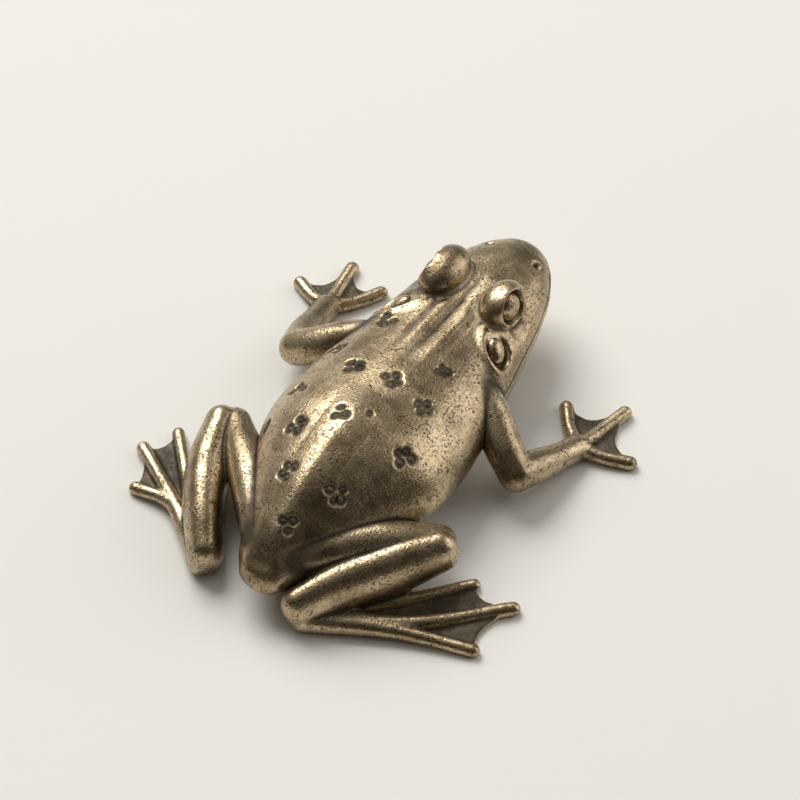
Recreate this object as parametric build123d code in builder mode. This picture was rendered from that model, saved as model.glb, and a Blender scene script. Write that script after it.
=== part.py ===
"""Sectional cast-brass frog ornament: two body shells, four dowelled legs, set-in eyes and eardrums.

Millimetres. The frog looks along -Y, its left is +X, +Z is up, and it stands on Z = 0.
"""
import os

from build123d import *

# Overall sizes
body_length = 73.0
body_width = 30.0
body_height = 19.0

# Body shells
wall = 1.7
seat_clearance = 0.05
parting_tilt = 5.0
mouth_gap = 0.35
mouth_depth = 0.6
overrun = 20.0

# Eyes
eye_dome_radius = 3.5
eye_rim_radius = 3.05
eye_rim_proud = 2.5
eye_socket_radius = 2.55
eye_socket_floor = 1.5
eye_bead_radius = 2.25
eye_bead_crown = 1.35
eye_tilt = 14.0

# Eardrums
drum_recess_radius = 2.4
drum_recess_depth = 0.7
drum_rim_radius = 0.4
drum_disc_radius = 2.0
drum_disc_crown = 0.75
drum_tilt = 42.0

# Stems of the eye beads and the eardrum discs
stem_radius = 0.6
stem_length = 1.2
stem_clearance = 0.05

# Nostrils and the two furrows of the back
nostril_radius = 0.42
nostril_depth = 0.7
furrow_radius = 1.1
furrow_sink = 0.4

# Forelegs
shoulder_radius = 2.3
elbow_radius = 2.05
wrist_radius = 1.75
palm_radius = 1.9
finger_root_radius = 1.15
finger_radius = 0.9
finger_tip_radius = 1.05

# Hind legs
hip_radius = 3.2
thigh_radius = 3.5
knee_radius = 2.75
shin_radius = 2.85
heel_radius = 2.35
instep_radius = 1.75
toe_root_radius = 1.3
toe_radius = 0.85
toe_tip_radius = 1.05

# Webs of the hands and feet
web_thickness = 1.0

# Dowels of the legs
dowel_radius = 0.75
dowel_length = 4.4
dowel_clearance = 0.03

# Places along the body count from the nose
nose_share = 0.502
parting_share = 0.56
nose_y = -body_length * nose_share

# Body stations: along, half width, top, bottom, side height, then how full the crown, flank and belly are
body_shares = (
    (0.0, 0.035, 0.63, 0.57, 0.6, 0.55, 0.55, 0.55),
    (0.009, 0.09, 0.67, 0.515, 0.59, 0.55, 0.55, 0.55),
    (0.034, 0.165, 0.725, 0.43, 0.58, 0.55, 0.55, 0.55),
    (0.08, 0.24, 0.785, 0.335, 0.565, 0.56, 0.60, 0.55),
    (0.16, 0.315, 0.84, 0.255, 0.545, 0.58, 0.62, 0.55),
    (0.27, 0.372, 0.865, 0.195, 0.515, 0.58, 0.62, 0.55),
    (0.395, 0.43, 0.90, 0.145, 0.485, 0.56, 0.58, 0.55),
    (0.545, 0.493, 0.965, 0.115, 0.455, 0.50, 0.56, 0.55),
    (0.67, 0.485, 1.0, 0.105, 0.44, 0.42, 0.55, 0.55),
    (0.79, 0.37, 0.895, 0.105, 0.41, 0.40, 0.54, 0.55),
    (0.90, 0.225, 0.70, 0.125, 0.37, 0.42, 0.54, 0.55),
    (0.97, 0.13, 0.51, 0.18, 0.33, 0.50, 0.55, 0.55),
    (0.992, 0.08, 0.42, 0.235, 0.315, 0.55, 0.55, 0.55),
    (1.0, 0.035, 0.35, 0.285, 0.315, 0.55, 0.55, 0.55),
)

# Head fittings: across, along and up
eye_shares = (0.147, 0.23, 0.875)
drum_shares = (0.295, 0.315)
nostril_shares = (0.11, 0.05)
mouth_end_share = 0.40
furrow_shares = ((0.055, 0.24), (0.07, 0.37), (0.085, 0.5))

# Leg routes: across, along and up; the first place is inside the body
left_upper_arm_shares = ((0.27, 0.385, 0.63), (0.425, 0.405, 0.53), (0.56, 0.43, 0.42), (0.685, 0.44, 0.30))
right_upper_arm_shares = ((-0.27, 0.385, 0.63), (-0.41, 0.415, 0.53), (-0.53, 0.45, 0.42), (-0.645, 0.468, 0.30))
left_forearm_shares = ((0.685, 0.44, 0.30), (0.745, 0.37, 0.20), (0.79, 0.27, 0.075))
right_forearm_shares = ((-0.645, 0.468, 0.30), (-0.71, 0.40, 0.20), (-0.755, 0.31, 0.075))
left_thigh_shares = ((0.08, 0.915, 0.42), (0.375, 0.80, 0.43), (0.64, 0.695, 0.37))
right_thigh_shares = ((-0.08, 0.915, 0.42), (-0.37, 0.805, 0.43), (-0.605, 0.725, 0.37))
left_shin_shares = ((0.69, 0.695, 0.34), (0.60, 0.80, 0.265), (0.44, 0.91, 0.22), (0.335, 0.972, 0.16))
right_shin_shares = ((-0.62, 0.735, 0.34), (-0.43, 0.825, 0.265), (-0.285, 0.91, 0.22), (-0.21, 0.972, 0.16))

# Hands and feet on the floor: across and along, and for each digit how far it bows sideways
left_finger_shares = ((0.63, 0.18, 0.05), (0.836, 0.162, 0), (0.962, 0.25, -0.05))
right_finger_shares = ((-0.58, 0.236, -0.05), (-0.818, 0.193, 0), (-1.015, 0.281, 0.05))
left_instep_shares = (0.73, 0.865)
right_instep_shares = (-0.645, 0.885)
left_toe_shares = ((0.935, 0.725, 0.03), (1.025, 0.79, 0), (0.895, 0.878, -0.03))
right_toe_shares = ((-0.77, 0.735, -0.03), (-0.99, 0.728, 0), (-0.965, 0.853, 0.03))

# Stations along each leg, seats of the dowels, and the spread of the webs
upper_arm_girth_shares = (0, 0.5, 1)
forearm_girth_shares = (0, 0.4, 0.8, 1)
thigh_girth_shares = (0, 0.5, 1)
shin_girth_shares = (0, 0.45, 1)
digit_girth_shares = (0, 0.45, 1)
arm_seat_share = 0.42
hip_seat_shares = (0.28, 0.845, 0.43)
web_reach_share = 0.78
web_bow_share = 0.4
sole_share = 0.75
dome_full_share = 0.55
ball_share = 1.08
ankle_share = 0.88
ankle_seat_share = 0.94


def body_y(along):
    return nose_y + body_length * along


def place(shares):
    across, along, up = shares
    return Vector(body_width * across, body_y(along), body_height * up)


def on_floor(shares, height):
    return Vector(body_width * shares[0], body_y(shares[1]), height)


def body_sections(rows, inset):
    sections = []
    for along, half, top, bottom, side, crown, flank, keel in rows:
        width = body_width * half - inset
        top_z = body_height * top - inset
        low_z = body_height * bottom + inset
        side_z = body_height * side
        high_z = side_z + (top_z - side_z) * flank
        deep_z = side_z - (side_z - low_z) * keel
        with BuildSketch(Plane.XZ.offset(-body_y(along))) as section:
            with BuildLine():
                Bezier((width, side_z), (width, high_z), (width * crown, top_z), (0, top_z))
                Bezier((0, top_z), (-width * crown, top_z), (-width, high_z), (-width, side_z))
                Bezier((-width, side_z), (-width, deep_z), (-width * keel, low_z), (0, low_z))
                Bezier((0, low_z), (width * keel, low_z), (width, deep_z), (width, side_z))
            make_face()
        sections.append(section.sketch)
    return sections


def body_loft(inset):
    loft(sections=body_sections(body_shares, inset))


def hollow_loft(inset):
    loft(sections=body_sections(body_shares[3:11], inset))


def on_body(across, along):
    # Where a plumb line meets the back
    line = Axis((body_width * across, body_y(along), 0), (0, 0, 1))
    hits = body_blank.part.shell().find_intersection_points(line)
    return max((point for point, normal in hits), key=lambda point: point.Z)


def tube(spine, shares, radii):
    # Round sections square to the spine, kept upright so that the surface does not twist
    sections = []
    for share, radius in zip(shares, radii):
        heading = spine % share
        with BuildSketch(Plane(spine @ share, x_dir=Vector(0, 0, 1).cross(heading), z_dir=heading)) as section:
            Circle(radius)
        sections.append(section.sketch)
    loft(sections=sections)


def ball(spine, share, radius):
    # A rounded end with its poles along the spine
    heading = spine % share
    with Locations(Plane(spine @ share, x_dir=Vector(0, 0, 1).cross(heading), z_dir=heading)):
        Sphere(radius * ball_share)


def digits(root, tip_rows, root_radius, radius, tip_radius):
    # Three bowed digits from one root, with a thin web from each to the next
    ends = []
    for row in tip_rows:
        end = on_floor(row, tip_radius * sole_share)
        span = end - root
        middle = root + span / 2 + span.cross(Vector(0, 0, 1)) * row[2]
        spine = Spline(root, middle, end)
        tube(spine, digit_girth_shares, (root_radius, radius, radius))
        ball(spine, 1, tip_radius)
        ends.append(root + span * web_reach_share)
    for near, far in zip(ends[:-1], ends[1:]):
        hollow_edge = (near + far) / 2 + (root - (near + far) / 2) * web_bow_share
        with BuildSketch(Plane.XY) as web:
            with BuildLine():
                Line((root.X, root.Y), (near.X, near.Y))
                Bezier((near.X, near.Y), (hollow_edge.X, hollow_edge.Y), (far.X, far.Y))
                Line((far.X, far.Y), (root.X, root.Y))
            make_face()
        extrude(web.sketch, amount=web_thickness)


def dowel_hole(seat):
    with Locations(seat):
        Cylinder(dowel_radius + dowel_clearance, dowel_length + 2 * dowel_clearance, mode=Mode.SUBTRACT)


def foreleg(upper_arm, forearm, finger_rows, seat):
    tube(upper_arm, upper_arm_girth_shares, (shoulder_radius, shoulder_radius, elbow_radius))
    ball(upper_arm, 1, elbow_radius)
    add(body_seat.part, mode=Mode.SUBTRACT)
    tube(forearm, forearm_girth_shares, (elbow_radius, elbow_radius, wrist_radius, palm_radius))
    ball(forearm, 1, palm_radius)
    digits(forearm @ 1, finger_rows, finger_root_radius, finger_radius, finger_tip_radius)
    split(bisect_by=Plane.XY, keep=Keep.TOP)
    dowel_hole(seat)


def hind_leg(thigh, shin, instep_shares, toe_rows, seat):
    instep = on_floor(instep_shares, instep_radius * sole_share)
    tube(thigh, thigh_girth_shares, (hip_radius, thigh_radius, knee_radius))
    ball(thigh, 1, knee_radius)
    add(body_seat.part, mode=Mode.SUBTRACT)
    tube(shin, shin_girth_shares, (knee_radius, shin_radius, heel_radius))
    ball(shin, 0, knee_radius)
    ball(shin, 1, heel_radius)
    foot = Line(shin @ ankle_seat_share, instep)
    tube(foot, (0, 1), (heel_radius * ankle_share, instep_radius))
    ball(foot, 1, instep_radius)
    digits(instep, toe_rows, toe_root_radius, toe_radius, toe_tip_radius)
    split(bisect_by=Plane.XY, keep=Keep.TOP)
    dowel_hole(seat)


def bead(seat, radius, crown):
    # Low dome on a stem
    with BuildSketch(Plane(seat.origin, x_dir=seat.x_dir, z_dir=-seat.y_dir)) as profile:
        with BuildLine():
            Line((0, -stem_length), (stem_radius, -stem_length))
            Line((stem_radius, -stem_length), (stem_radius, 0))
            Line((stem_radius, 0), (radius, 0))
            Bezier((radius, 0), (radius, crown * dome_full_share), (radius * dome_full_share, crown), (0, crown))
            Line((0, crown), (0, -stem_length))
        make_face()
    revolve(profile.sketch, axis=Axis(seat.origin, seat.z_dir))


sides = (1, -1)
parting_origin = (0, nose_y, body_height * parting_share)
parting = Plane(parting_origin, x_dir=(1, 0, 0), z_dir=Vector(0, 0, 1).rotate(Axis.X, -parting_tilt))

# The whole body, the same a little fuller as the seat of the legs, and its hollow
with BuildPart() as body_blank:
    body_loft(0)

with BuildPart() as body_seat:
    body_loft(-seat_clearance)

with BuildPart() as hollow:
    hollow_loft(wall)

# Slot round the head that opens the mouth line, as deep as the lips
with BuildPart() as mouth:
    with BuildSketch(parting):
        with Locations((0, body_length * mouth_end_share / 2 - overrun / 2)):
            Rectangle(body_width + overrun, body_length * mouth_end_share + overrun)
        with BuildLine():
            jaw = [row for row in body_shares if row[0] < mouth_end_share]
            cheek = [(body_width * row[1] - mouth_depth, body_length * row[0]) for row in jaw[2:]]
            rim = Spline((0, mouth_depth), *cheek, tangents=((1, 0), (0, 1)))
            mirror(rim, about=Plane.YZ)
            Line(rim @ 1, (-(rim @ 1).X, (rim @ 1).Y))
        make_face(mode=Mode.SUBTRACT)
    extrude(amount=mouth_gap / 2, both=True)

# Seats of the fittings, pointing outwards
eye_seats = []
drum_seats = []
nostril_seats = []
furrows = []
for side in sides:
    across, along, up = eye_shares
    lean = Vector(side, 0, 0).rotate(Axis.Y, -side * eye_tilt)
    eye_seats.append(Plane(place((side * across, along, up)), x_dir=(0, 1, 0), z_dir=lean))
    lean = Vector(side, 0, 0).rotate(Axis.Y, -side * drum_tilt)
    drum_seats.append(Plane(on_body(side * drum_shares[0], drum_shares[1]), x_dir=(0, 1, 0), z_dir=lean))
    nostril_seats.append(Plane(on_body(side * nostril_shares[0], nostril_shares[1]), z_dir=Vector(side, -1, 1)))
    raised = Vector(0, 0, furrow_radius - furrow_sink)
    furrows.append(ThreePointArc([on_body(side * across, along) + raised for across, along in furrow_shares]))
bead_seats = [seat.offset(eye_socket_floor) for seat in eye_seats]
disc_seats = [seat.offset(-drum_recess_depth) for seat in drum_seats]

# Leg routes and the seats of their dowels
left_upper_arm = Spline([place(row) for row in left_upper_arm_shares])
right_upper_arm = Spline([place(row) for row in right_upper_arm_shares])
left_forearm = Spline([place(row) for row in left_forearm_shares])
right_forearm = Spline([place(row) for row in right_forearm_shares])
left_thigh = Spline([place(row) for row in left_thigh_shares])
right_thigh = Spline([place(row) for row in right_thigh_shares])
left_shin = Spline([place(row) for row in left_shin_shares])
right_shin = Spline([place(row) for row in right_shin_shares])
left_shoulder = Plane(left_upper_arm @ arm_seat_share, z_dir=left_upper_arm % arm_seat_share)
right_shoulder = Plane(right_upper_arm @ arm_seat_share, z_dir=right_upper_arm % arm_seat_share)
hip_across, hip_along, hip_up = hip_seat_shares
left_hip = Plane(place((hip_across, hip_along, hip_up)), z_dir=(1, 0, 0))
right_hip = Plane(place((-hip_across, hip_along, hip_up)), z_dir=(-1, 0, 0))

# Upper casting: head, eyelid domes with their rims and sockets, drum recesses, nostrils and furrows
with BuildPart() as back_shell:
    body_loft(0)
    split(bisect_by=parting, keep=Keep.TOP)
    with Locations(*eye_seats):
        Sphere(eye_dome_radius)
        Cylinder(eye_rim_radius, eye_rim_proud, align=(Align.CENTER, Align.CENTER, Align.MIN))
    with Locations(*drum_seats):
        Torus(drum_recess_radius, drum_rim_radius)
    with Locations(*bead_seats):
        Cylinder(eye_socket_radius, overrun, align=(Align.CENTER, Align.CENTER, Align.MIN), mode=Mode.SUBTRACT)
    with Locations(*disc_seats):
        Cylinder(drum_recess_radius, overrun, align=(Align.CENTER, Align.CENTER, Align.MIN), mode=Mode.SUBTRACT)
    with Locations(*bead_seats, *disc_seats):
        Cylinder(stem_radius + stem_clearance, 2 * (stem_length + stem_clearance), mode=Mode.SUBTRACT)
    with Locations(*nostril_seats):
        Cylinder(nostril_radius, 2 * nostril_depth, mode=Mode.SUBTRACT)
    for furrow in furrows:
        with BuildSketch(Plane(furrow @ 0, z_dir=furrow % 0)):
            Circle(furrow_radius)
        sweep(path=furrow, mode=Mode.SUBTRACT)
    add(mouth.part, mode=Mode.SUBTRACT)
    add(hollow.part, mode=Mode.SUBTRACT)
    for seat in (left_shoulder, right_shoulder, left_hip, right_hip):
        dowel_hole(seat)

# Lower casting: lower jaw and belly
with BuildPart() as belly_shell:
    body_loft(0)
    split(bisect_by=parting, keep=Keep.BOTTOM)
    add(mouth.part, mode=Mode.SUBTRACT)
    add(hollow.part, mode=Mode.SUBTRACT)

with BuildPart() as left_eye_bead:
    bead(bead_seats[0], eye_bead_radius, eye_bead_crown)

with BuildPart() as right_eye_bead:
    bead(bead_seats[1], eye_bead_radius, eye_bead_crown)

with BuildPart() as left_eardrum_disc:
    bead(disc_seats[0], drum_disc_radius, drum_disc_crown)

with BuildPart() as right_eardrum_disc:
    bead(disc_seats[1], drum_disc_radius, drum_disc_crown)

with BuildPart() as left_foreleg:
    foreleg(left_upper_arm, left_forearm, left_finger_shares, left_shoulder)

with BuildPart() as right_foreleg:
    foreleg(right_upper_arm, right_forearm, right_finger_shares, right_shoulder)

with BuildPart() as left_hind_leg:
    hind_leg(left_thigh, left_shin, left_instep_shares, left_toe_shares, left_hip)

with BuildPart() as right_hind_leg:
    hind_leg(right_thigh, right_shin, right_instep_shares, right_toe_shares, right_hip)

with BuildPart() as left_shoulder_dowel:
    with Locations(left_shoulder):
        Cylinder(dowel_radius, dowel_length)

with BuildPart() as right_shoulder_dowel:
    with Locations(right_shoulder):
        Cylinder(dowel_radius, dowel_length)

with BuildPart() as left_hip_dowel:
    with Locations(left_hip):
        Cylinder(dowel_radius, dowel_length)

with BuildPart() as right_hip_dowel:
    with Locations(right_hip):
        Cylinder(dowel_radius, dowel_length)

back_shell.part.label = "back_shell"
belly_shell.part.label = "belly_shell"
left_eye_bead.part.label = "left_eye_bead"
right_eye_bead.part.label = "right_eye_bead"
left_eardrum_disc.part.label = "left_eardrum_disc"
right_eardrum_disc.part.label = "right_eardrum_disc"
left_foreleg.part.label = "left_foreleg"
right_foreleg.part.label = "right_foreleg"
left_hind_leg.part.label = "left_hind_leg"
right_hind_leg.part.label = "right_hind_leg"
left_shoulder_dowel.part.label = "left_shoulder_dowel"
right_shoulder_dowel.part.label = "right_shoulder_dowel"
left_hip_dowel.part.label = "left_hip_dowel"
right_hip_dowel.part.label = "right_hip_dowel"

os.makedirs("parts", exist_ok=True)
export_step(back_shell.part, "parts/back_shell.step")
export_step(belly_shell.part, "parts/belly_shell.step")
export_step(left_eye_bead.part, "parts/left_eye_bead.step")
export_step(right_eye_bead.part, "parts/right_eye_bead.step")
export_step(left_eardrum_disc.part, "parts/left_eardrum_disc.step")
export_step(right_eardrum_disc.part, "parts/right_eardrum_disc.step")
export_step(left_foreleg.part, "parts/left_foreleg.step")
export_step(right_foreleg.part, "parts/right_foreleg.step")
export_step(left_hind_leg.part, "parts/left_hind_leg.step")
export_step(right_hind_leg.part, "parts/right_hind_leg.step")
export_step(left_shoulder_dowel.part, "parts/left_shoulder_dowel.step")
export_step(right_shoulder_dowel.part, "parts/right_shoulder_dowel.step")
export_step(left_hip_dowel.part, "parts/left_hip_dowel.step")
export_step(right_hip_dowel.part, "parts/right_hip_dowel.step")
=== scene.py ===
import math

import bpy
import numpy as np
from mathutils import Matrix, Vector
from mathutils.bvhtree import BVHTree


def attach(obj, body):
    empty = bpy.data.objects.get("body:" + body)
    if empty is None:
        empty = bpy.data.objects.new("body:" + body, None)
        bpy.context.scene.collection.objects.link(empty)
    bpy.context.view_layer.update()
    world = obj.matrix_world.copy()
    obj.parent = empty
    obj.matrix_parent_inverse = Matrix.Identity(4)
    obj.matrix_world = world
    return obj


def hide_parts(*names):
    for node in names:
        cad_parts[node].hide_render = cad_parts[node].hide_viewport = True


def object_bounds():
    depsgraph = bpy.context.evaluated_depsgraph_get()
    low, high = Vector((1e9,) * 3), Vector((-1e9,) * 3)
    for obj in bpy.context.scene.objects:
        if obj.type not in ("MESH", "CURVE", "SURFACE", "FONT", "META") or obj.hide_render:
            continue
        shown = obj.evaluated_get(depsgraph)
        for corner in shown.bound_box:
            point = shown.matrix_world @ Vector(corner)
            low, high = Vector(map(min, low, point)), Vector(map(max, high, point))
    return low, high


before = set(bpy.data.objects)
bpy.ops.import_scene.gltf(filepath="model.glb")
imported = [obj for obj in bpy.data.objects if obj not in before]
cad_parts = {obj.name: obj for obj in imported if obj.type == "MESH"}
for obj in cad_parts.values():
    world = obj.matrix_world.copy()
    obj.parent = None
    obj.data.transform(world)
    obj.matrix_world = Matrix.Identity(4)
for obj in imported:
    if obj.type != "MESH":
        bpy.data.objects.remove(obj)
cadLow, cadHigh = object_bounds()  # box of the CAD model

mm = 0.001
bodySize = (30.0, 73.0, 19.0)  # width, length and height that the shares refer to, in mm
noseY = cadLow[1] / mm  # the tip of the nose is the foremost point of the CAD model
weldGap = 0.01  # mm, points nearer than this become one
sides = (1, -1)  # left, right


# picking pieces, and reading and writing their points
def deselectAll():
    bpy.ops.object.select_all(action="DESELECT")


def pick(*objs):
    deselectAll()
    for obj in objs:
        obj.select_set(True)
    bpy.context.view_layer.objects.active = objs[0]


def readPoints(piece):
    co = np.empty(len(piece.data.vertices) * 3)
    piece.data.vertices.foreach_get("co", co)
    return co.reshape(-1, 3)


def writePoints(piece, co):
    piece.data.vertices.foreach_set("co", np.ascontiguousarray(co).ravel())
    piece.data.update()


def readNormals(piece):
    normals = np.empty(len(piece.data.vertices) * 3)
    piece.data.vertex_normals.foreach_get("vector", normals)
    return normals.reshape(-1, 3)


def farFrom(co, centre):
    # distance of each point from a place, in millimetres
    return np.linalg.norm(co - centre, axis=1) / mm


def place(row):
    # shares of the body to metres in the shared frame
    return np.array((bodySize[0] * row[0], noseY + bodySize[1] * row[1], bodySize[2] * row[2])) * mm


# soft steps and curves
def ease(value, low, high):
    t = np.clip((value - low) / (high - low), 0, 1)
    return t * t * (3 - 2 * t)


def bump(value, width):
    return np.exp(-(value / width) ** 2)


def smoothCurve(knots, values, at):
    knots = np.asarray(knots, float)
    values = np.asarray(values, float)
    slopes = np.gradient(values, knots, axis=0)
    cell = np.clip(np.searchsorted(knots, at, side="right") - 1, 0, len(knots) - 2)
    gap = knots[cell + 1] - knots[cell]
    t = (np.asarray(at) - knots[cell]) / gap
    if values.ndim > 1:
        gap, t = gap[:, None], t[:, None]
    return (values[cell] * (1 + 2 * t) * (1 - t) ** 2 + slopes[cell] * gap * t * (1 - t) ** 2
            + values[cell + 1] * t * t * (3 - 2 * t) + slopes[cell + 1] * gap * t * t * (t - 1))


# building and softening of forms
def turnedOutward(piece):
    pick(piece)
    bpy.ops.object.mode_set(mode="EDIT")
    bpy.ops.mesh.select_all(action="SELECT")
    bpy.ops.mesh.normals_make_consistent(inside=False)
    bpy.ops.object.mode_set(mode="OBJECT")


def wrappedGrid(name, around, along, shape):
    # a grid rolled up into a closed form, its seam and ends shut
    deselectAll()
    bpy.ops.mesh.primitive_grid_add(x_subdivisions=around, y_subdivisions=along, size=2)
    piece = bpy.context.object
    piece.name = name
    co = readPoints(piece)
    writePoints(piece, shape((co[:, 0] + 1) / 2, (co[:, 1] + 1) / 2))
    bpy.ops.object.mode_set(mode="EDIT")
    bpy.ops.mesh.select_all(action="SELECT")
    bpy.ops.mesh.remove_doubles(threshold=weldGap * mm)
    bpy.ops.mesh.fill_holes(sides=0)
    bpy.ops.object.mode_set(mode="OBJECT")
    turnedOutward(piece)
    return piece


def ball(centre, radii):
    deselectAll()
    bpy.ops.mesh.primitive_uv_sphere_add(segments=48, ring_count=24, radius=mm, location=tuple(centre))
    bpy.context.object.scale = radii
    bpy.ops.object.transform_apply(location=True, rotation=True, scale=True)
    return bpy.context.object


def joined(name, parts):
    pick(*parts)
    bpy.ops.object.join()
    piece = bpy.context.object
    piece.name = name
    piece.data.name = name
    return piece


def applied(piece, kind, **settings):
    pick(piece)
    step = piece.modifiers.new(kind.title(), kind)
    for key, value in settings.items():
        setattr(step, key, value)
    bpy.ops.object.modifier_apply(modifier=step.name)


def melted(piece, voxel, rounds):
    # one skin over all the joined forms, then softened like wax
    applied(piece, "REMESH", mode="VOXEL", voxel_size=voxel * mm)
    applied(piece, "SMOOTH", iterations=rounds, factor=0.5)


# what the points of a piece have round them
def treeOf(piece):
    corners = [v.co for v in piece.data.vertices]
    return BVHTree.FromPolygons(corners, [tuple(p.vertices) for p in piece.data.polygons])


def edgesOf(piece):
    ends = np.empty(len(piece.data.edges) * 2, dtype=np.int64)
    piece.data.edges.foreach_get("vertices", ends)
    return ends.reshape(-1, 2)


def blurred(values, edges, rounds):
    # each point takes the mean of its neighbours
    count = np.bincount(edges.ravel(), minlength=len(values))[:, None].astype(float)
    flat = values.reshape(len(values), -1)
    for turn in range(rounds):
        total = np.empty_like(flat)
        for axis in range(flat.shape[1]):
            total[:, axis] = (np.bincount(edges[:, 0], flat[edges[:, 1], axis], len(flat))
                              + np.bincount(edges[:, 1], flat[edges[:, 0], axis], len(flat)))
        flat = total / np.maximum(count, 1)
    return flat.reshape(values.shape)


def hollowness(piece, rounds, reach, evened=2):
    # above 0 in creases, below 0 on ridges
    co = readPoints(piece)
    edges = edgesOf(piece)
    lift = ((blurred(co, edges, rounds) - co) * readNormals(piece)).sum(1) / (reach * mm)
    return blurred(lift, edges, evened)


def nearness(piece, trees, reach):
    # 1 where another form touches, 0 at the reach
    near = np.zeros(len(piece.data.vertices))
    for tree in trees:
        for index, point in enumerate(piece.data.vertices):
            hit = tree.find_nearest(point.co, reach * mm)
            if hit[0] is not None:
                near[index] = max(near[index], 1 - hit[3] / (reach * mm))
    return near


def paint(piece, name, values):
    layer = piece.data.attributes.new(name, "FLOAT", "POINT")
    layer.data.foreach_set("value", np.clip(values, 0, 1).astype(np.float32))


def smoothShaded(piece):
    pick(piece)
    bpy.ops.object.shade_smooth()


# body, one blank from sections down its length
body = {
    "rows": (  # along, half width, top, bottom, side, crown, flank, keel
        (0.0, 0.035, 0.63, 0.57, 0.60, 0.55, 0.55, 0.55),
        (0.009, 0.09, 0.67, 0.515, 0.59, 0.55, 0.55, 0.55),
        (0.034, 0.165, 0.725, 0.43, 0.58, 0.55, 0.55, 0.55),
        (0.08, 0.24, 0.785, 0.335, 0.565, 0.56, 0.60, 0.55),
        (0.16, 0.315, 0.84, 0.255, 0.545, 0.58, 0.62, 0.55),
        (0.27, 0.372, 0.865, 0.195, 0.515, 0.58, 0.62, 0.55),
        (0.395, 0.43, 0.90, 0.145, 0.485, 0.56, 0.58, 0.55),
        (0.545, 0.493, 0.965, 0.115, 0.455, 0.50, 0.56, 0.55),
        (0.67, 0.485, 1.0, 0.105, 0.44, 0.42, 0.55, 0.55),
        (0.79, 0.37, 0.895, 0.105, 0.41, 0.40, 0.54, 0.55),
        (0.90, 0.225, 0.70, 0.125, 0.37, 0.42, 0.54, 0.55),
        (0.97, 0.13, 0.51, 0.18, 0.33, 0.50, 0.55, 0.55),
        (0.992, 0.08, 0.42, 0.235, 0.315, 0.52, 0.55, 0.55),
        (1.0, 0.035, 0.35, 0.285, 0.315, 0.55, 0.55, 0.55),
    ),
    "around": 160,
    "along": 260,
    "voxel": 0.18,
    "softRounds": 10,
    "plumbFrom": 50.0,  # a plumb line starts this high over the floor
    "partingShare": 0.56,
    "partingTilt": 5.0,
    "mouthEnd": 0.40,
    "mouthFade": 0.06,
    "mouthDepth": 0.45,
    "mouthWidth": 0.26,
    "lipRise": 0.85,
    "backKept": 0.8,  # share of the faces kept on each casting
    "bellyKept": 0.4,
}
bodyRows = np.array(body["rows"])


def bodyShape(turn, run):
    eased = 0.5 - 0.5 * np.cos(np.pi * run)
    along = (eased + run) / 2  # rings lie closer at the nose and the tail
    width, top, low, side, crown, flank, keel = smoothCurve(bodyRows[:, 0], bodyRows[:, 1:], along).T
    quarter = np.minimum((turn * 4).astype(int), 3)
    t = turn * 4 - quarter
    t = np.where(quarter % 2 == 0, t, 1 - t)  # 0 at the side and 1 at the middle in every quarter
    sign = np.where((quarter == 0) | (quarter == 3), 1.0, -1.0)
    upper = quarter < 2
    end = np.where(upper, top, low)
    pull = np.where(upper, flank, keel)
    spread = np.where(upper, crown, keel)
    a, b, c, d = (1 - t) ** 3, 3 * t * (1 - t) ** 2, 3 * t * t * (1 - t), t ** 3
    x = sign * width * (a + b + c * spread)
    z = a * side + b * (side + (end - side) * pull) + (c + d) * end
    return np.stack((x * bodySize[0], noseY + bodySize[1] * along, z * bodySize[2]), 1) * mm


bodyBlank = wrappedGrid("bodyBlank", body["around"], body["along"], bodyShape)
bodyTree = treeOf(bodyBlank)
print("body blank", len(bodyBlank.data.vertices))


def onBack(x, y):
    # where a plumb line meets the back, given in millimetres
    hit = bodyTree.ray_cast(Vector((x, y, body["plumbFrom"])) * mm, Vector((0, 0, -1)))
    return np.array(hit[0])


# eyelid domes with their sockets, and the hollows of the eardrums
eyes = {
    "centre": (0.166, 0.229, 0.872),
    "tilt": 14.0,
    "domes": ((3.3, 5.0, 3.0), (3.2, 4.2, 3.2)),  # left, right
    "shifts": ((0.2, -1.0, 0.3), (0.5, -0.25, 0.1)),  # outward, along and up
    "fillet": (5.3, 6.8),
    "filletRounds": 40,
    "creaseRounds": 25,
    "creaseReach": 0.15,
    "faceOut": 2.15,
    "faceRadius": 3.15,
    "faceSlope": 0.9,
    "faceReach": 7.0,
    "faceBelow": -1.0,
    "lipRadius": 2.85,
    "lipWidth": 0.28,
    "lipHeight": 0.42,
    "lipFrom": (0.8, 1.6),
    "socketRadius": 2.5,
    "socketFloor": 1.45,
    "beadRadii": (2.1, 2.1, 1.5),
}
drums = {
    "seat": (0.295, 0.315),
    "tilt": 42.0,
    "recessRadius": 2.3,
    "recessStretch": (1.2, 0.86),
    "recessDepth": 0.7,
    "foldAt": 2.85,
    "foldWidth": 0.65,
    "foldHeight": 0.5,
    "foldFrom": (-0.2, 0.6),
    "foldNearest": 0.1,  # keeps the middle of the seat from dividing by nothing
    "discRadii": (2.05, 1.5, 1.05),
}
seats = {
    "turn": 51.0,  # lean of the ovals, in degrees
    "edge": (-0.2, 0.1),
    "deepest": -2.0,  # what lies deeper is the far side of the head
    "evenRounds": 4,
    "evenFade": (3.6, 4.6),
    "evenReach": 5.0,
}
beads = {
    "roundness": 0.92,
    "foot": -0.25,
    "edgeDark": 0.9,
    "edgeFade": (0.0, 0.25),
    "wornFrom": (0.3, 0.8),
}


def seatAt(side, centre, tilt):
    lean = math.radians(tilt)
    return centre, np.array((side * math.cos(lean), 0, math.sin(lean)))


def eyePlace(side):
    across, along, up = eyes["centre"]
    return place((side * across, along, up))


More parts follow.
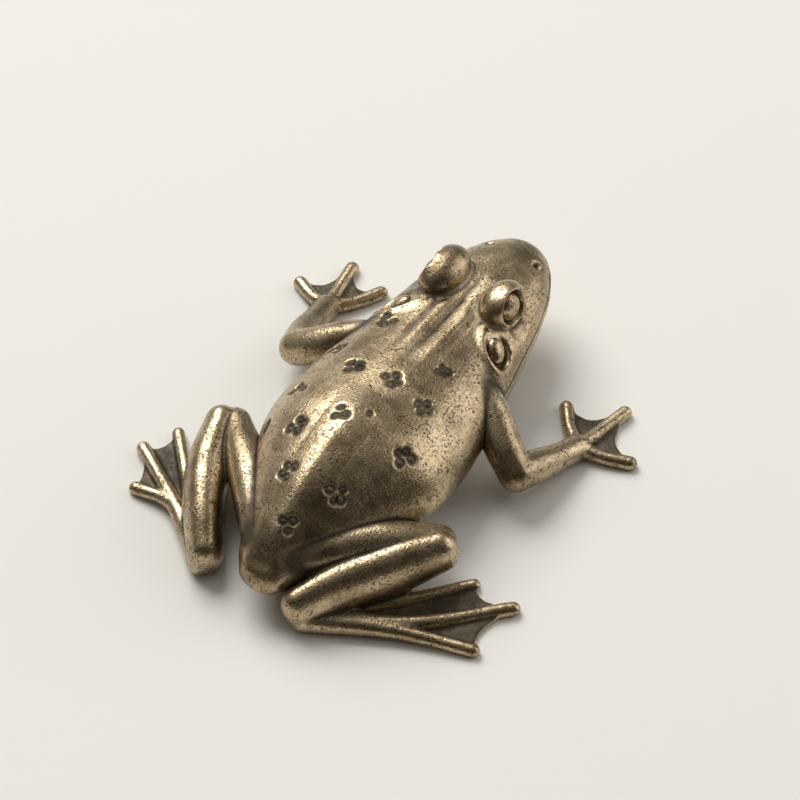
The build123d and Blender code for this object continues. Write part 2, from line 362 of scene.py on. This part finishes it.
def drumPlace(side):
    across, along = drums["seat"]
    return onBack(side * across * bodySize[0], noseY + along * bodySize[1])


eyeSeats = [seatAt(side, eyePlace(side), eyes["tilt"]) for side in sides]
drumSeats = [seatAt(side, drumPlace(side), drums["tilt"]) for side in sides]
domes = []
for side, (centre, out), dome, shift in zip(sides, eyeSeats, eyes["domes"], eyes["shifts"]):
    domes.append(ball(centre + np.array((side * shift[0], shift[1], shift[2])) * mm, dome))

bodySkin = joined("bodySkin", [bodyBlank] + domes)
melted(bodySkin, body["voxel"], body["softRounds"])
print("body skin", len(bodySkin.data.vertices))


def seatFrame(seat):
    # long way, short way and outward way of a seat
    out = seat[1]
    forward = np.array((0, -1.0, 0))
    up = np.cross(out, forward) * math.copysign(1, -out[0])
    turn = math.radians(seats["turn"])
    longWay = forward * math.cos(turn) + up * math.sin(turn)
    shortWay = forward * math.sin(turn) - up * math.cos(turn)
    return longWay, shortWay, out


def seatShadeReach(co, seat, stretch=(1, 1)):
    # distance across the seat and height over it, in millimetres
    longWay, shortWay, out = seatFrame(seat)
    away = (co - seat[0]) / mm
    return np.hypot(away @ longWay / stretch[0], away @ shortWay / stretch[1]), away @ out


def pressed(co, seat, radius, floor, stretch=(1, 1)):
    # what lies inside a seat goes down to its floor
    across, up = seatShadeReach(co, seat, stretch)
    inside = 1 - ease(across - radius, *seats["edge"])
    drop = np.maximum(up - floor, 0) * inside * (up > seats["deepest"])
    return co - (drop * mm)[:, None] * seat[1]


def crowned(name, seat, floor, radii):
    # a domed bead with a flat foot, sunk a little into its seat
    piece = ball((0, 0, 0), (1, 1, 1))
    piece.name = name
    piece.data.name = name
    points = readPoints(piece) / mm
    height = points[:, 2]
    height = np.where(height > 0, np.abs(height) ** beads["roundness"], np.maximum(height, beads["foot"]))
    points[:, 2] = height
    way = np.array(seatFrame(seat))
    local = points * np.array(radii)
    writePoints(piece, seat[0] + (local @ way + seat[1] * floor) * mm)
    paint(piece, "patinaAndShade", beads["edgeDark"] * (1 - ease(height, *beads["edgeFade"])))
    paint(piece, "worn", ease(height, *beads["wornFrom"]))
    turnedOutward(piece)
    smoothShaded(piece)
    return piece


co = readPoints(bodySkin)
skinEdges = edgesOf(bodySkin)
soft = blurred(co, skinEdges, eyes["filletRounds"])
hollow = np.clip(hollowness(bodySkin, eyes["creaseRounds"], eyes["creaseReach"]), 0, 1)
for centre, out in eyeSeats:  # the lids run into the head without a sharp crease
    near = 1 - ease(farFrom(co, centre), *eyes["fillet"])
    co = co + (soft - co) * (near * hollow)[:, None]
for seat in eyeSeats:  # flat face of the eye, a lip round it, then the socket of the bead
    across, up = seatShadeReach(co, seat)
    face = eyes["faceOut"] + eyes["faceSlope"] * np.maximum(across - eyes["faceRadius"], 0)
    drop = np.maximum(up - face, 0) * (across < eyes["faceReach"]) * (up > eyes["faceBelow"])
    co = co - (drop * mm)[:, None] * seat[1]
    across, up = seatShadeReach(co, seat)
    lip = eyes["lipHeight"] * bump(across - eyes["lipRadius"], eyes["lipWidth"]) * ease(up, *eyes["lipFrom"])
    co = co + (lip * mm)[:, None] * seat[1]
    co = pressed(co, seat, eyes["socketRadius"], eyes["socketFloor"])
for seat in drumSeats:  # oval hollow with a fold of skin round its rear
    longWay, shortWay, out = seatFrame(seat)
    across, up = seatShadeReach(co, seat, drums["recessStretch"])
    rear = -(((co - seat[0]) / mm) @ shortWay) / np.maximum(across, drums["foldNearest"])
    fold = drums["foldHeight"] * bump(across - drums["foldAt"], drums["foldWidth"])
    fold = fold * ease(rear, *drums["foldFrom"]) * (up > seats["deepest"])
    co = co + (fold * mm)[:, None] * out
    co = pressed(co, seat, drums["recessRadius"], -drums["recessDepth"], drums["recessStretch"])
even = blurred(co, skinEdges, seats["evenRounds"])
for seat in eyeSeats + drumSeats:  # rims made even again
    across, up = seatShadeReach(co, seat)
    near = (1 - ease(across, *seats["evenFade"])) * (np.abs(up) < seats["evenReach"])
    co = co + (even - co) * near[:, None]
writePoints(bodySkin, co)
print("eye and eardrum seats pressed")


# relief of the back: ridges and grooves behind the eyes, roof line, nostrils and punched spots
relief = {
    "facingUp": (0.15, 0.5),
    "aboveZ": 11.0,
    "fromY": (-26.0, -19.0),
    "toY": (-10.0, 0.5),
    "lidClear": (3.6, 5.6),
    "ridgeAt": 2.0,
    "ridgeWidth": 0.8,
    "ridgeHeight": 0.24,
    "outerGrooveAt": 3.5,
    "outerGrooveWidth": 0.45,
    "leftGrooveDepth": 0.17,
    "rightGrooveDepth": 0.051,
    "midGrooveWidth": 0.55,
    "midGrooveDepth": 0.24,
    "roofHeight": 0.6,
    "roofWidth": 3.4,
    "roofShare": 1.1,
    "roofBlunt": 0.35,
    "roofFrom": (5.0, 12.0),
    "roofTo": (29.0, 34.0),
    "nostrils": ((4.2, -31.8), (-4.2, -31.8)),
    "nostrilRadius": 0.6,
    "nostrilDepth": 1.0,
    "tailDimple": (-0.2, 34.4),
    "dimpleDepth": 0.35,
    "dimpleWidth": 1.9,
}
spots = {
    "clusters": (  # x, y, size, turn in degrees, number of rings
        (7.6, -8.9, 1.0, 20, 4), (5.4, 2.5, 1.0, 75, 4), (-0.9, 2.1, 1.0, 10, 4),
        (-5.5, -4.4, 0.75, 40, 4), (-7.1, 3.4, 0.9, 100, 4), (1.5, 12.1, 0.95, 60, 3),
        (-9.3, 11.9, 1.0, 15, 4), (-4.8, 22.2, 1.0, 80, 4), (3.2, 22.9, 1.0, 35, 4),
        (-1.1, 29.2, 0.85, 0, 3), (6.3, 15.9, 1.0, 120, 4), (10.8, 8.8, 0.85, 50, 3),
        (11.3, -1.1, 0.9, 30, 4), (-2.1, 9.9, 0.6, 0, 1), (12.6, 15.5, 0.8, 10, 3),
    ),
    "pitch": 0.95,
    "ringRadius": 0.5,
    "ringWidth": 0.33,
    "depth": 0.27,
    "reach": 2.0,
    "coreInk": 0.7,
    "coreRadius": 0.5,
    "turnSway": (17.0, 2.1),  # how far each punch strays from even, and how fast that changes
    "pitchSway": (0.18, 1.7),
    "sizeSway": (0.22, 2.9),
}


def sway(setting, number, start):
    far, pace = spots[setting]
    return far * math.sin(number * pace + start)


normals = readNormals(bodySkin)
x, y, z = (co / mm).T
facingUp = ease(normals[:, 2], *relief["facingUp"])
neck = ease(y, *relief["fromY"]) * (1 - ease(y, *relief["toY"])) * facingUp * (z > relief["aboveZ"])
for centre, out in eyeSeats:  # the lids stay smooth
    neck = neck * ease(farFrom(co, centre), *relief["lidClear"])
lift = neck * (
    relief["ridgeHeight"] * bump(np.abs(x) - relief["ridgeAt"], relief["ridgeWidth"])
    - relief["leftGrooveDepth"] * bump(x - relief["outerGrooveAt"], relief["outerGrooveWidth"])
    - relief["rightGrooveDepth"] * bump(x + relief["outerGrooveAt"], relief["outerGrooveWidth"])
    - relief["midGrooveDepth"] * bump(x, relief["midGrooveWidth"]))
roof = np.maximum(0, relief["roofShare"] - np.hypot(x, relief["roofBlunt"]) / relief["roofWidth"])
roof = roof * ease(y, *relief["roofFrom"]) * (1 - ease(y, *relief["roofTo"])) * facingUp
lift += relief["roofHeight"] * roof
lift -= relief["dimpleDepth"] * bump(farFrom(co, onBack(*relief["tailDimple"])), relief["dimpleWidth"])
ink = np.zeros(len(co))
for nostril in relief["nostrils"]:
    mark = bump(farFrom(co, onBack(*nostril)), relief["nostrilRadius"])
    lift -= relief["nostrilDepth"] * mark
    ink = np.maximum(ink, mark)
for spotX, spotY, size, turned, count in spots["clusters"]:
    for number in range(count):
        angle = math.radians(turned + 360 * number / count + sway("turnSway", number, spotX))
        reach = 0 if count == 1 else spots["pitch"] * size * (1 + sway("pitchSway", number, spotY))
        far = farFrom(co, onBack(spotX + reach * math.cos(angle), spotY + reach * math.sin(angle)))
        ringAt = spots["ringRadius"] * size * (1 + sway("sizeSway", number, spotX * 3))
        mark = bump(far - ringAt, spots["ringWidth"]) * (far < spots["reach"])
        core = spots["coreInk"] * bump(far, spots["coreRadius"]) * (far < spots["reach"])
        lift -= spots["depth"] * mark
        ink = np.maximum(ink, np.maximum(mark, core))
co = co + normals * (lift * mm)[:, None]

# mouth line, pressed in round the head
share = np.clip((y - noseY) / bodySize[1], 0, 1)
mouthHeight = smoothCurve(bodyRows[:, 0], bodyRows[:, 4], share) * bodySize[2] + body["lipRise"]
jaw = 1 - ease(share, body["mouthEnd"] - body["mouthFade"], body["mouthEnd"])
mouthInk = jaw * bump(np.abs(co[:, 2] / mm - mouthHeight), body["mouthWidth"])
inward = normals * (1, 1, 0)
co = co - inward * (mouthInk * body["mouthDepth"] * mm)[:, None]
writePoints(bodySkin, co)
paint(bodySkin, "ink", np.maximum(ink, mouthInk))
print("back relief done")


# back and belly, cut apart at the seam
def cutAway(piece, keepUpper):
    pick(piece)
    bpy.ops.object.mode_set(mode="EDIT")
    bpy.ops.mesh.select_all(action="SELECT")
    tilt = math.radians(body["partingTilt"])
    bpy.ops.mesh.bisect(plane_co=(0, noseY * mm, bodySize[2] * mm * body["partingShare"]),
                        plane_no=(0, math.sin(tilt), math.cos(tilt)), use_fill=True,
                        clear_inner=keepUpper, clear_outer=not keepUpper)
    bpy.ops.object.mode_set(mode="OBJECT")
    turnedOutward(piece)


pick(bodySkin)
bpy.ops.object.duplicate()
frogBelly = bpy.context.object
frogBelly.name = "frogBelly"
frogBack = bodySkin
frogBack.name = "frogBack"
cutAway(frogBack, True)
cutAway(frogBelly, False)
applied(frogBack, "DECIMATE", ratio=body["backKept"])
applied(frogBelly, "DECIMATE", ratio=body["bellyKept"])
print("back", len(frogBack.data.vertices), "belly", len(frogBelly.data.vertices))


# legs, each one skin over its limbs, digits and webs
limbs = {
    "around": 40,
    "along": 60,
    "digitAlong": 64,
    "cap": 0.12,  # share of the rings in each rounded end
    "glance": 0.01,  # how far ahead a limb looks for its heading
    "webGrid": (30, 40),
    "softRounds": 6,
}


def limbShape(points, radii, tall):
    steps = np.r_[0, np.cumsum(np.linalg.norm(np.diff(points, axis=0), axis=1))]
    steps = steps / steps[-1]
    girthAt = np.linspace(0, 1, len(radii))
    cap, glance = limbs["cap"], limbs["glance"]

    def shape(turn, run):
        middle = np.clip((run - cap) / (1 - 2 * cap), 0, 1)
        centre = smoothCurve(steps, points, middle)
        ahead = (smoothCurve(steps, points, np.clip(middle + glance, 0, 1))
                 - smoothCurve(steps, points, np.clip(middle - glance, 0, 1)))
        ahead /= np.linalg.norm(ahead, axis=1)[:, None]
        side = np.cross(ahead, (0, 0, 1.0))
        side /= np.maximum(np.linalg.norm(side, axis=1), 1e-9)[:, None]
        up = np.cross(side, ahead)
        girth = smoothCurve(girthAt, np.array(radii, float), middle) * mm
        head = np.clip(1 - run / cap, 0, 1) * np.pi / 2
        foot = np.clip((run - 1 + cap) / cap, 0, 1) * np.pi / 2
        centre = centre + ahead * (girth * (np.sin(foot) - np.sin(head)))[:, None]
        girth = girth * np.cos(foot) * np.cos(head)
        angle = turn * 2 * np.pi
        return centre + side * (girth * np.cos(angle))[:, None] + up * (girth * np.sin(angle) * tall)[:, None]
    return shape


def limb(points, radii, tall=1.0, along=limbs["along"]):
    return wrappedGrid("limb", limbs["around"], along, limbShape(points, radii, tall))


def route(rows):
    return np.array([place(row) for row in rows])


def digitLine(root, row, height):
    # from the palm to a tip on the floor, bowed sideways
    tip = place((row[0], row[1], 0))
    tip[2] = height * mm
    span = tip - root
    middle = root + span / 2 + np.cross(span, (0, 0, 1)) * row[2]
    return np.array((root, middle, tip))


def web(first, second, settings):
    # sheet between two digits, its free edge bowed in
    deselectAll()
    across, along = limbs["webGrid"]
    bpy.ops.mesh.primitive_grid_add(x_subdivisions=across, y_subdivisions=along, size=2)
    piece = bpy.context.object
    turn, run = (readPoints(piece)[:, :2].T + 1) / 2
    pull = run * (1 - settings["webBow"] * np.sin(np.pi * turn))
    a = smoothCurve((0, 0.5, 1), first, pull)
    b = smoothCurve((0, 0.5, 1), second, pull)
    points = a + (b - a) * turn[:, None]
    points[:, 2] = settings["webThick"] / 2 * mm
    writePoints(piece, points)
    applied(piece, "SOLIDIFY", thickness=settings["webThick"] * mm, offset=0)
    return piece


forelegs = {
    "leftUpperArm": (
        (0.27, 0.385, 0.63), (0.425, 0.405, 0.53), (0.56, 0.43, 0.42), (0.685, 0.44, 0.30)),
    "rightUpperArm": (
        (-0.27, 0.385, 0.63), (-0.415, 0.418, 0.53), (-0.54, 0.455, 0.42), (-0.655, 0.478, 0.30)),
    "leftForearm": ((0.685, 0.44, 0.30), (0.745, 0.37, 0.20), (0.79, 0.27, 0.075)),
    "rightForearm": ((-0.655, 0.478, 0.30), (-0.71, 0.40, 0.20), (-0.755, 0.31, 0.075)),
    "leftFingers": ((0.628, 0.167, 0.05), (0.846, 0.142, 0), (1.01, 0.236, -0.05)),  # tip, then sideways bow
    "rightFingers": ((-0.563, 0.225, -0.05), (-0.822, 0.172, 0), (-1.01, 0.281, 0.05)),
    "fingerHeight": 0.72,
    "upperGirth": (2.5, 2.85, 2.75),
    "lowerGirth": (2.7, 2.5, 2.05, 2.0),
    "fingerGirth": (1.3, 1.12, 1.02, 1.08, 1.12),
    "webBow": 0.24,
    "webThick": 0.95,
    "voxel": 0.2,
}
hindLegs = {
    "leftThigh": ((0.08, 0.915, 0.42), (0.362, 0.794, 0.43), (0.63, 0.688, 0.37)),
    "rightThigh": ((-0.08, 0.915, 0.42), (-0.357, 0.799, 0.43), (-0.595, 0.717, 0.37)),
    "leftShin": ((0.69, 0.70, 0.345), (0.60, 0.80, 0.285), (0.445, 0.905, 0.24), (0.345, 0.960, 0.18)),
    "rightShin": ((-0.625, 0.733, 0.345), (-0.445, 0.83, 0.285), (-0.295, 0.914, 0.24), (-0.21, 0.968, 0.18)),
    "leftToes": (
        ((0.43, 0.93, 0.075), (0.715, 0.81, 0.06), (0.935, 0.715, 0.04)),
        ((0.36, 0.965, 0.10), (0.735, 0.86, 0.08), (1.022, 0.785, 0.04)),
        ((0.36, 0.97, 0.10), (0.725, 0.875, 0.08), (0.905, 0.878, 0.04)),
    ),
    "rightToes": (
        ((-0.30, 0.935, 0.075), (-0.56, 0.825, 0.06), (-0.785, 0.715, 0.04)),
        ((-0.24, 0.965, 0.10), (-0.63, 0.88, 0.08), (-1.015, 0.722, 0.04)),
        ((-0.24, 0.975, 0.10), (-0.64, 0.898, 0.08), (-0.99, 0.85, 0.04)),
    ),
    "thighGirth": (3.0, 3.2, 3.1, 2.4),
    "shinGirth": (2.6, 3.3, 3.15, 2.65),
    "shinTall": 1.36,
    "toeGirths": ((1.3, 1.15, 1.0, 1.0), (1.9, 1.55, 1.25, 1.02, 1.1), (1.9, 1.55, 1.25, 1.02, 1.05)),
    "webBow": 0.06,
    "webThick": 0.95,
    "voxel": 0.21,
}
webTrees = {}


def finishedLeg(name, settings, lines, girths, upper, lower):
    digits = [limb(line, girth, along=limbs["digitAlong"]) for line, girth in zip(lines, girths)]
    sheets = [web(first, second, settings) for first, second in zip(lines[:-1], lines[1:])]
    webTrees[name] = [treeOf(sheet) for sheet in sheets]
    leg = joined(name, [upper, lower] + digits + sheets)
    melted(leg, settings["voxel"], limbs["softRounds"])
    points = readPoints(leg)
    points[:, 2] = np.maximum(points[:, 2], 0)  # soles lie flat
    writePoints(leg, points)
    return leg


def foreleg(name, side):
    palm = place(forelegs[side + "Forearm"][-1])
    lines = [digitLine(palm, row, forelegs["fingerHeight"]) for row in forelegs[side + "Fingers"]]
    upper = limb(route(forelegs[side + "UpperArm"]), forelegs["upperGirth"])
    lower = limb(route(forelegs[side + "Forearm"]), forelegs["lowerGirth"])
    return finishedLeg(name, forelegs, lines, [forelegs["fingerGirth"]] * len(lines), upper, lower)


def hindLeg(name, side):
    lines = [route(rows) for rows in hindLegs[side + "Toes"]]
    upper = limb(route(hindLegs[side + "Thigh"]), hindLegs["thighGirth"])
    lower = limb(route(hindLegs[side + "Shin"]), hindLegs["shinGirth"], hindLegs["shinTall"])
    return finishedLeg(name, hindLegs, lines, hindLegs["toeGirths"], upper, lower)


leftForeleg = foreleg("leftForeleg", "left")
rightForeleg = foreleg("rightForeleg", "right")
leftHindLeg = hindLeg("leftHindLeg", "left")
rightHindLeg = hindLeg("rightHindLeg", "right")
legs = (leftForeleg, rightForeleg, leftHindLeg, rightHindLeg)
print("legs", [len(leg.data.vertices) for leg in legs])

# beads of the eyes and discs of the eardrums, in their seats
leftEyeBead = crowned("leftEyeBead", eyeSeats[0], eyes["socketFloor"], eyes["beadRadii"])
rightEyeBead = crowned("rightEyeBead", eyeSeats[1], eyes["socketFloor"], eyes["beadRadii"])
leftEardrum = crowned("leftEardrum", drumSeats[0], -drums["recessDepth"], drums["discRadii"])
rightEardrum = crowned("rightEardrum", drumSeats[1], -drums["recessDepth"], drums["discRadii"])
print("beads set")


# dark patina in the creases, painted shade where the legs and the body meet, worn edges
wear = {
    "creaseRounds": 14,
    "creaseReach": 0.16,
    "creaseDark": 0.9,
    "fineRounds": 3,
    "fineReach": 0.05,
    "fineDark": 0.5,
    # reach and darkness of the painted shade where the legs and the body meet
    "seatShadeReach": 0.9,
    "seatShadeDark": 0.8,
    "webReach": 0.8,
    "webFrom": (0.15, 0.7),
    "webFacingUp": (0.2, 0.6),
    "webDark": 0.95,
}
backTree = treeOf(frogBack)
legTrees = [treeOf(leg) for leg in legs]
for piece in (frogBack, frogBelly) + legs:
    deep = hollowness(piece, wear["creaseRounds"], wear["creaseReach"])
    fine = hollowness(piece, wear["fineRounds"], wear["fineReach"])
    if piece in legs:
        # painted shade on the leg where it meets the back
        paintedSeatShade = nearness(piece, [backTree], wear["seatShadeReach"])
        sheet = ease(nearness(piece, webTrees[piece.name], wear["webReach"]), *wear["webFrom"])
        ink = sheet * ease(readNormals(piece)[:, 2], *wear["webFacingUp"]) * wear["webDark"]
    else:
        # painted shade on the back and belly where the legs meet them
        paintedSeatShade = nearness(piece, legTrees, wear["seatShadeReach"])
        ink = np.zeros(len(piece.data.vertices))
        piece.data.attributes["ink"].data.foreach_get("value", ink)
    dark = wear["creaseDark"] * np.clip(deep, 0, 1) + wear["fineDark"] * np.clip(fine, 0, 1)
    # patina in the creases, plus the painted shade where the legs and the body meet
    paint(piece, "patinaAndShade", np.maximum(ink, dark + wear["seatShadeDark"] * paintedSeatShade))
    paint(piece, "worn", -deep)
    smoothShaded(piece)
print("patina painted")


# finishes
class Tint:
    def __init__(self, tree, socket=None):
        self.tree = tree
        self.socket = socket

    def node(self, kind, settings=None, inputs=None, output=0):
        made = self.tree.nodes.new("ShaderNode" + kind)
        for key, value in (settings or {}).items():
            setattr(made, key, value)
        for key, value in (inputs or {}).items():
            if isinstance(value, Tint):
                self.tree.links.new(value.socket, made.inputs[key])
            else:
                made.inputs[key].default_value = value
        return Tint(self.tree, made.outputs[output] if made.outputs else None)

    def maths(self, kind, first, second):
        return self.node("Math", {"operation": kind}, {0: first, 1: second})

    def __add__(self, other):
        return self.maths("ADD", self, other)

    def __radd__(self, other):
        return self.maths("ADD", other, self)

    def __sub__(self, other):
        return self.maths("SUBTRACT", self, other)

    def __rsub__(self, other):
        return self.maths("SUBTRACT", other, self)

    def __mul__(self, other):
        return self.maths("MULTIPLY", self, other)

    def __rmul__(self, other):
        return self.maths("MULTIPLY", other, self)

    def between(self, low, high):
        return self.node("MapRange", {"clamp": True}, {"Value": self, "From Min": low, "From Max": high})

    def blend(self, first, second):
        return self.node("Mix", {"data_type": "RGBA"}, {0: self, 6: first, 7: second}, 2)


brass = {
    "bright": (0.60, 0.475, 0.305, 1),
    "warm": (0.42, 0.315, 0.18, 1),
    "tarnish": (0.12, 0.086, 0.05, 1),
    # dark colour of the patina and of the painted shade
    "patinaAndShade": (0.040, 0.029, 0.014, 1),
    "cloud": (130.0, 6.0, 0.62),  # scale, detail and roughness of each noise
    "blotch": (480.0, 3.0, 0.55),
    "grit": (2600.0, 1.0, 0.4),
    "grain": (3600.0, 2.0, 0.6),
    "brushed": (1.0, 2.0, 0.5),
    "brushTurn": (0.0, 0.0, 0.5),
    "brushScale": (4200.0, 420.0, 1500.0),
    "pitFrom": (0.56, 0.64),
    "pitPatches": (0.40, 0.56),
    "pitDark": 0.85,
    "dirtAndShadeFrom": (0.1, 0.65),
    "dirtAndShadeMix": (0.72, 0.4),  # even share, share that follows the blotches
    "wornFrom": (0.1, 0.7),
    "warmFrom": (0.35, 0.65),
    "tarnishFrom": (0.46, 0.66),
    "tarnishDark": 0.7,
    "grainFrom": (0.5, 0.64),
    "grainDark": 0.6,
    "roughness": 0.19,
    "roughMix": (0.14, 0.10, 0.30, 0.12),  # blotches, brushing, dirt with painted shade, and pits
    "bumpMix": (0.8, 0.5, 0.5, -0.9),  # grit, brushing, blotches and pits
    "dirtAndShadeMetal": 0.55,  # how much less metallic the dirt and the painted shade are
    "bumpStrength": 0.24,
    "bumpDistance": 0.0003,
    "coat": 0.35,
    "coatLost": 0.28,  # how much of the coat the dirt and the painted shade take
    "coatRoughness": 0.14,
    "beadShine": 0.06,  # how much smoother than the castings
    "dowelShine": 0.03,
}


def brassFinish(name, shine=0.0):
    finish = bpy.data.materials.new(name)
    finish.use_nodes = True
    tree = finish.node_tree
    tree.nodes.clear()
    tint = Tint(tree)
    where = tint.node("TexCoord", output=3)
    along = tint.node("Mapping", None, {
        "Vector": where, "Rotation": brass["brushTurn"], "Scale": brass["brushScale"]})

    def noise(kind, vector):
        scale, detail, roughness = brass[kind]
        inputs = {"Vector": vector, "Scale": scale, "Detail": detail, "Roughness": roughness}
        return tint.node("TexNoise", None, inputs)

    def mixed(kind, *layers):
        return sum(share * layer for share, layer in zip(brass[kind], layers))

    patinaAndShade = tint.node("Attribute", {"attribute_name": "patinaAndShade"}, output=2)
    worn = tint.node("Attribute", {"attribute_name": "worn"}, output=2)
    cloud = noise("cloud", where)
    blotch = noise("blotch", where)
    grit = noise("grit", where)
    grain = noise("grain", where)
    brushed = noise("brushed", along)
    pits = grit.between(*brass["pitFrom"]) * blotch.between(*brass["pitPatches"])
    # dark patina from the creases, plus painted shade where the legs meet the body
    dirtAndShade = patinaAndShade.between(*brass["dirtAndShadeFrom"]) * (brass["dirtAndShadeMix"][0] + brass["dirtAndShadeMix"][1] * blotch)
    tarnish = cloud.between(*brass["tarnishFrom"]) * (1 - worn.between(*brass["wornFrom"]))
    base = cloud.between(*brass["warmFrom"]).blend(brass["bright"], brass["warm"])
    base = (tarnish * brass["tarnishDark"]).blend(base, brass["tarnish"])
    base = (grain.between(*brass["grainFrom"]) * brass["grainDark"]).blend(base, brass["tarnish"])
    base = (pits * brass["pitDark"]).blend(base, brass["patinaAndShade"])
    base = dirtAndShade.blend(base, brass["patinaAndShade"])
    rough = brass["roughness"] - shine + mixed("roughMix", blotch, brushed, dirtAndShade, pits)
    height = mixed("bumpMix", grit, brushed, blotch, pits)
    bumped = tint.node("Bump", None, {
        "Strength": brass["bumpStrength"], "Distance": brass["bumpDistance"], "Height": height})
    shader = tint.node("BsdfPrincipled", None, {
        "Base Color": base,
        "Metallic": 1 - brass["dirtAndShadeMetal"] * dirtAndShade,
        "Roughness": rough,
        "Normal": bumped,
        "Coat Weight": brass["coat"] - brass["coatLost"] * dirtAndShade,
        "Coat Roughness": brass["coatRoughness"],
    })
    tint.node("OutputMaterial", None, {"Surface": shader})
    return finish


castBrass = brassFinish("castBrass")
beadBrass = brassFinish("beadBrass", brass["beadShine"])
dowelBrass = brassFinish("dowelBrass", brass["dowelShine"])


def dressed(piece, finish, slot, *stands):
    piece.data.materials.clear()
    piece.data.materials.append(finish)
    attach(piece, "root")
    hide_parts(*stands)


dressed(frogBack, castBrass, "cast_brass", "back_shell")
dressed(frogBelly, castBrass, "cast_brass", "belly_shell")
dressed(leftForeleg, castBrass, "cast_brass", "left_foreleg")
dressed(rightForeleg, castBrass, "cast_brass", "right_foreleg")
dressed(leftHindLeg, castBrass, "cast_brass", "left_hind_leg")
dressed(rightHindLeg, castBrass, "cast_brass", "right_hind_leg")
dressed(leftEyeBead, beadBrass, "bead_brass", "left_eye_bead")
dressed(rightEyeBead, beadBrass, "bead_brass", "right_eye_bead")
dressed(leftEardrum, beadBrass, "bead_brass", "left_eardrum_disc")
dressed(rightEardrum, beadBrass, "bead_brass", "right_eardrum_disc")
for name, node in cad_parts.items():
    if "dowel" in name:
        node.data.materials.clear()
        node.data.materials.append(dowelBrass)
print("finishes on")


# floor, light and camera
studio = {
    "floorSize": 6.0,
    "floorColour": (0.885, 0.87, 0.825, 1),
    "floorRoughness": 0.9,
    "floorGloss": 0.1,
    "keyWay": (-0.32, 0.58, 0.76),  # rightward, away and up as the camera stands
    "keyDistance": 1.7,
    "keySize": 1.25,
    "keyPower": 24.0,
    "keyColour": (1.0, 0.985, 0.96),
    "fillWay": (0.3, 0.0, 1.0),
    "fillDistance": 1.5,
    "fillSize": 1.6,
    "fillPower": 2.2,
    "fillColour": (1.0, 0.98, 0.95),
    "sideWay": (0.88, 0.2, 0.42),
    "worldDim": (0.055, 0.048, 0.042, 1),
    "worldBright": (0.40, 0.39, 0.37, 1),
    "brightFrom": (0.3, 0.98),
    "worldSide": (1.7, 1.66, 1.6, 1),
    "sideFrom": (0.86, 0.95),
}
view = {
    "azimuth": 213.4,
    "elevation": 48.7,
    "distance": 0.535,
    "aim": (0.00488, -0.008486, 0.0),
    "lens": 162.0,
    "sensor": 36.0,
    "nearest": 0.01,
}

deselectAll()
bpy.ops.mesh.primitive_plane_add(size=studio["floorSize"])
floor = bpy.context.object
floor.name = "floor"
floorPaint = bpy.data.materials.new("floorPaint")
floorPaint.use_nodes = True
floorBase = floorPaint.node_tree.nodes["Principled BSDF"]
floorBase.inputs["Base Color"].default_value = studio["floorColour"]
floorBase.inputs["Roughness"].default_value = studio["floorRoughness"]
floorBase.inputs["Specular IOR Level"].default_value = studio["floorGloss"]
floor.data.materials.append(floorPaint)

aim = Vector(view["aim"])
azimuth = math.radians(view["azimuth"])
elevation = math.radians(view["elevation"])
level = math.cos(elevation)
backward = Vector((math.sin(azimuth) * level, -math.cos(azimuth) * level, math.sin(elevation)))
rightward = Vector((math.cos(azimuth), math.sin(azimuth), 0))
upward = backward.cross(rightward)
away = Vector((upward.x, upward.y, 0)).normalized()


def wayOf(row):
    return (rightward * row[0] + away * row[1] + Vector((0, 0, row[2]))).normalized()


def lamp(name):
    data = bpy.data.lights.new(name, "AREA")
    data.shape = "DISK"
    data.size = studio[name + "Size"]
    data.energy = studio[name + "Power"]
    data.color = studio[name + "Colour"]
    made = bpy.data.objects.new(name, data)
    bpy.context.scene.collection.objects.link(made)
    way = wayOf(studio[name + "Way"])
    made.location = aim + way * studio[name + "Distance"]
    made.rotation_euler = way.to_track_quat("Z", "Y").to_euler()
    return made


lamp("key")
fill = lamp("fill")
fill.visible_glossy = False  # lifts the shadow on the floor without a patch in the metal

world = bpy.data.worlds.new("studioAir")
bpy.context.scene.world = world
world.use_nodes = True
world.node_tree.nodes.clear()
air = Tint(world.node_tree)
toSky = air.node("TexCoord")


def skyward(row):
    # 1 in the given direction, falling to -1 opposite
    return air.node("VectorMath", {"operation": "DOT_PRODUCT"}, {0: toSky, 1: tuple(wayOf(row))}, 1)


facing = skyward(studio["keyWay"]).between(*studio["brightFrom"])
beside = skyward(studio["sideWay"]).between(*studio["sideFrom"])
sky = beside.blend(facing.blend(studio["worldDim"], studio["worldBright"]), studio["worldSide"])
air.node("OutputWorld", None, {"Surface": air.node("Background", None, {"Color": sky})})

cameraData = bpy.data.cameras.new("photoCamera")
cameraData.lens = view["lens"]
cameraData.sensor_width = view["sensor"]
cameraData.clip_start = view["nearest"]
camera = bpy.data.objects.new("photoCamera", cameraData)
bpy.context.scene.collection.objects.link(camera)
camera.location = aim + backward * view["distance"]
camera.rotation_euler = backward.to_track_quat("Z", "Y").to_euler()
bpy.context.scene.camera = camera
bpy.context.scene.view_settings.view_transform = "Standard"
print("studio set")
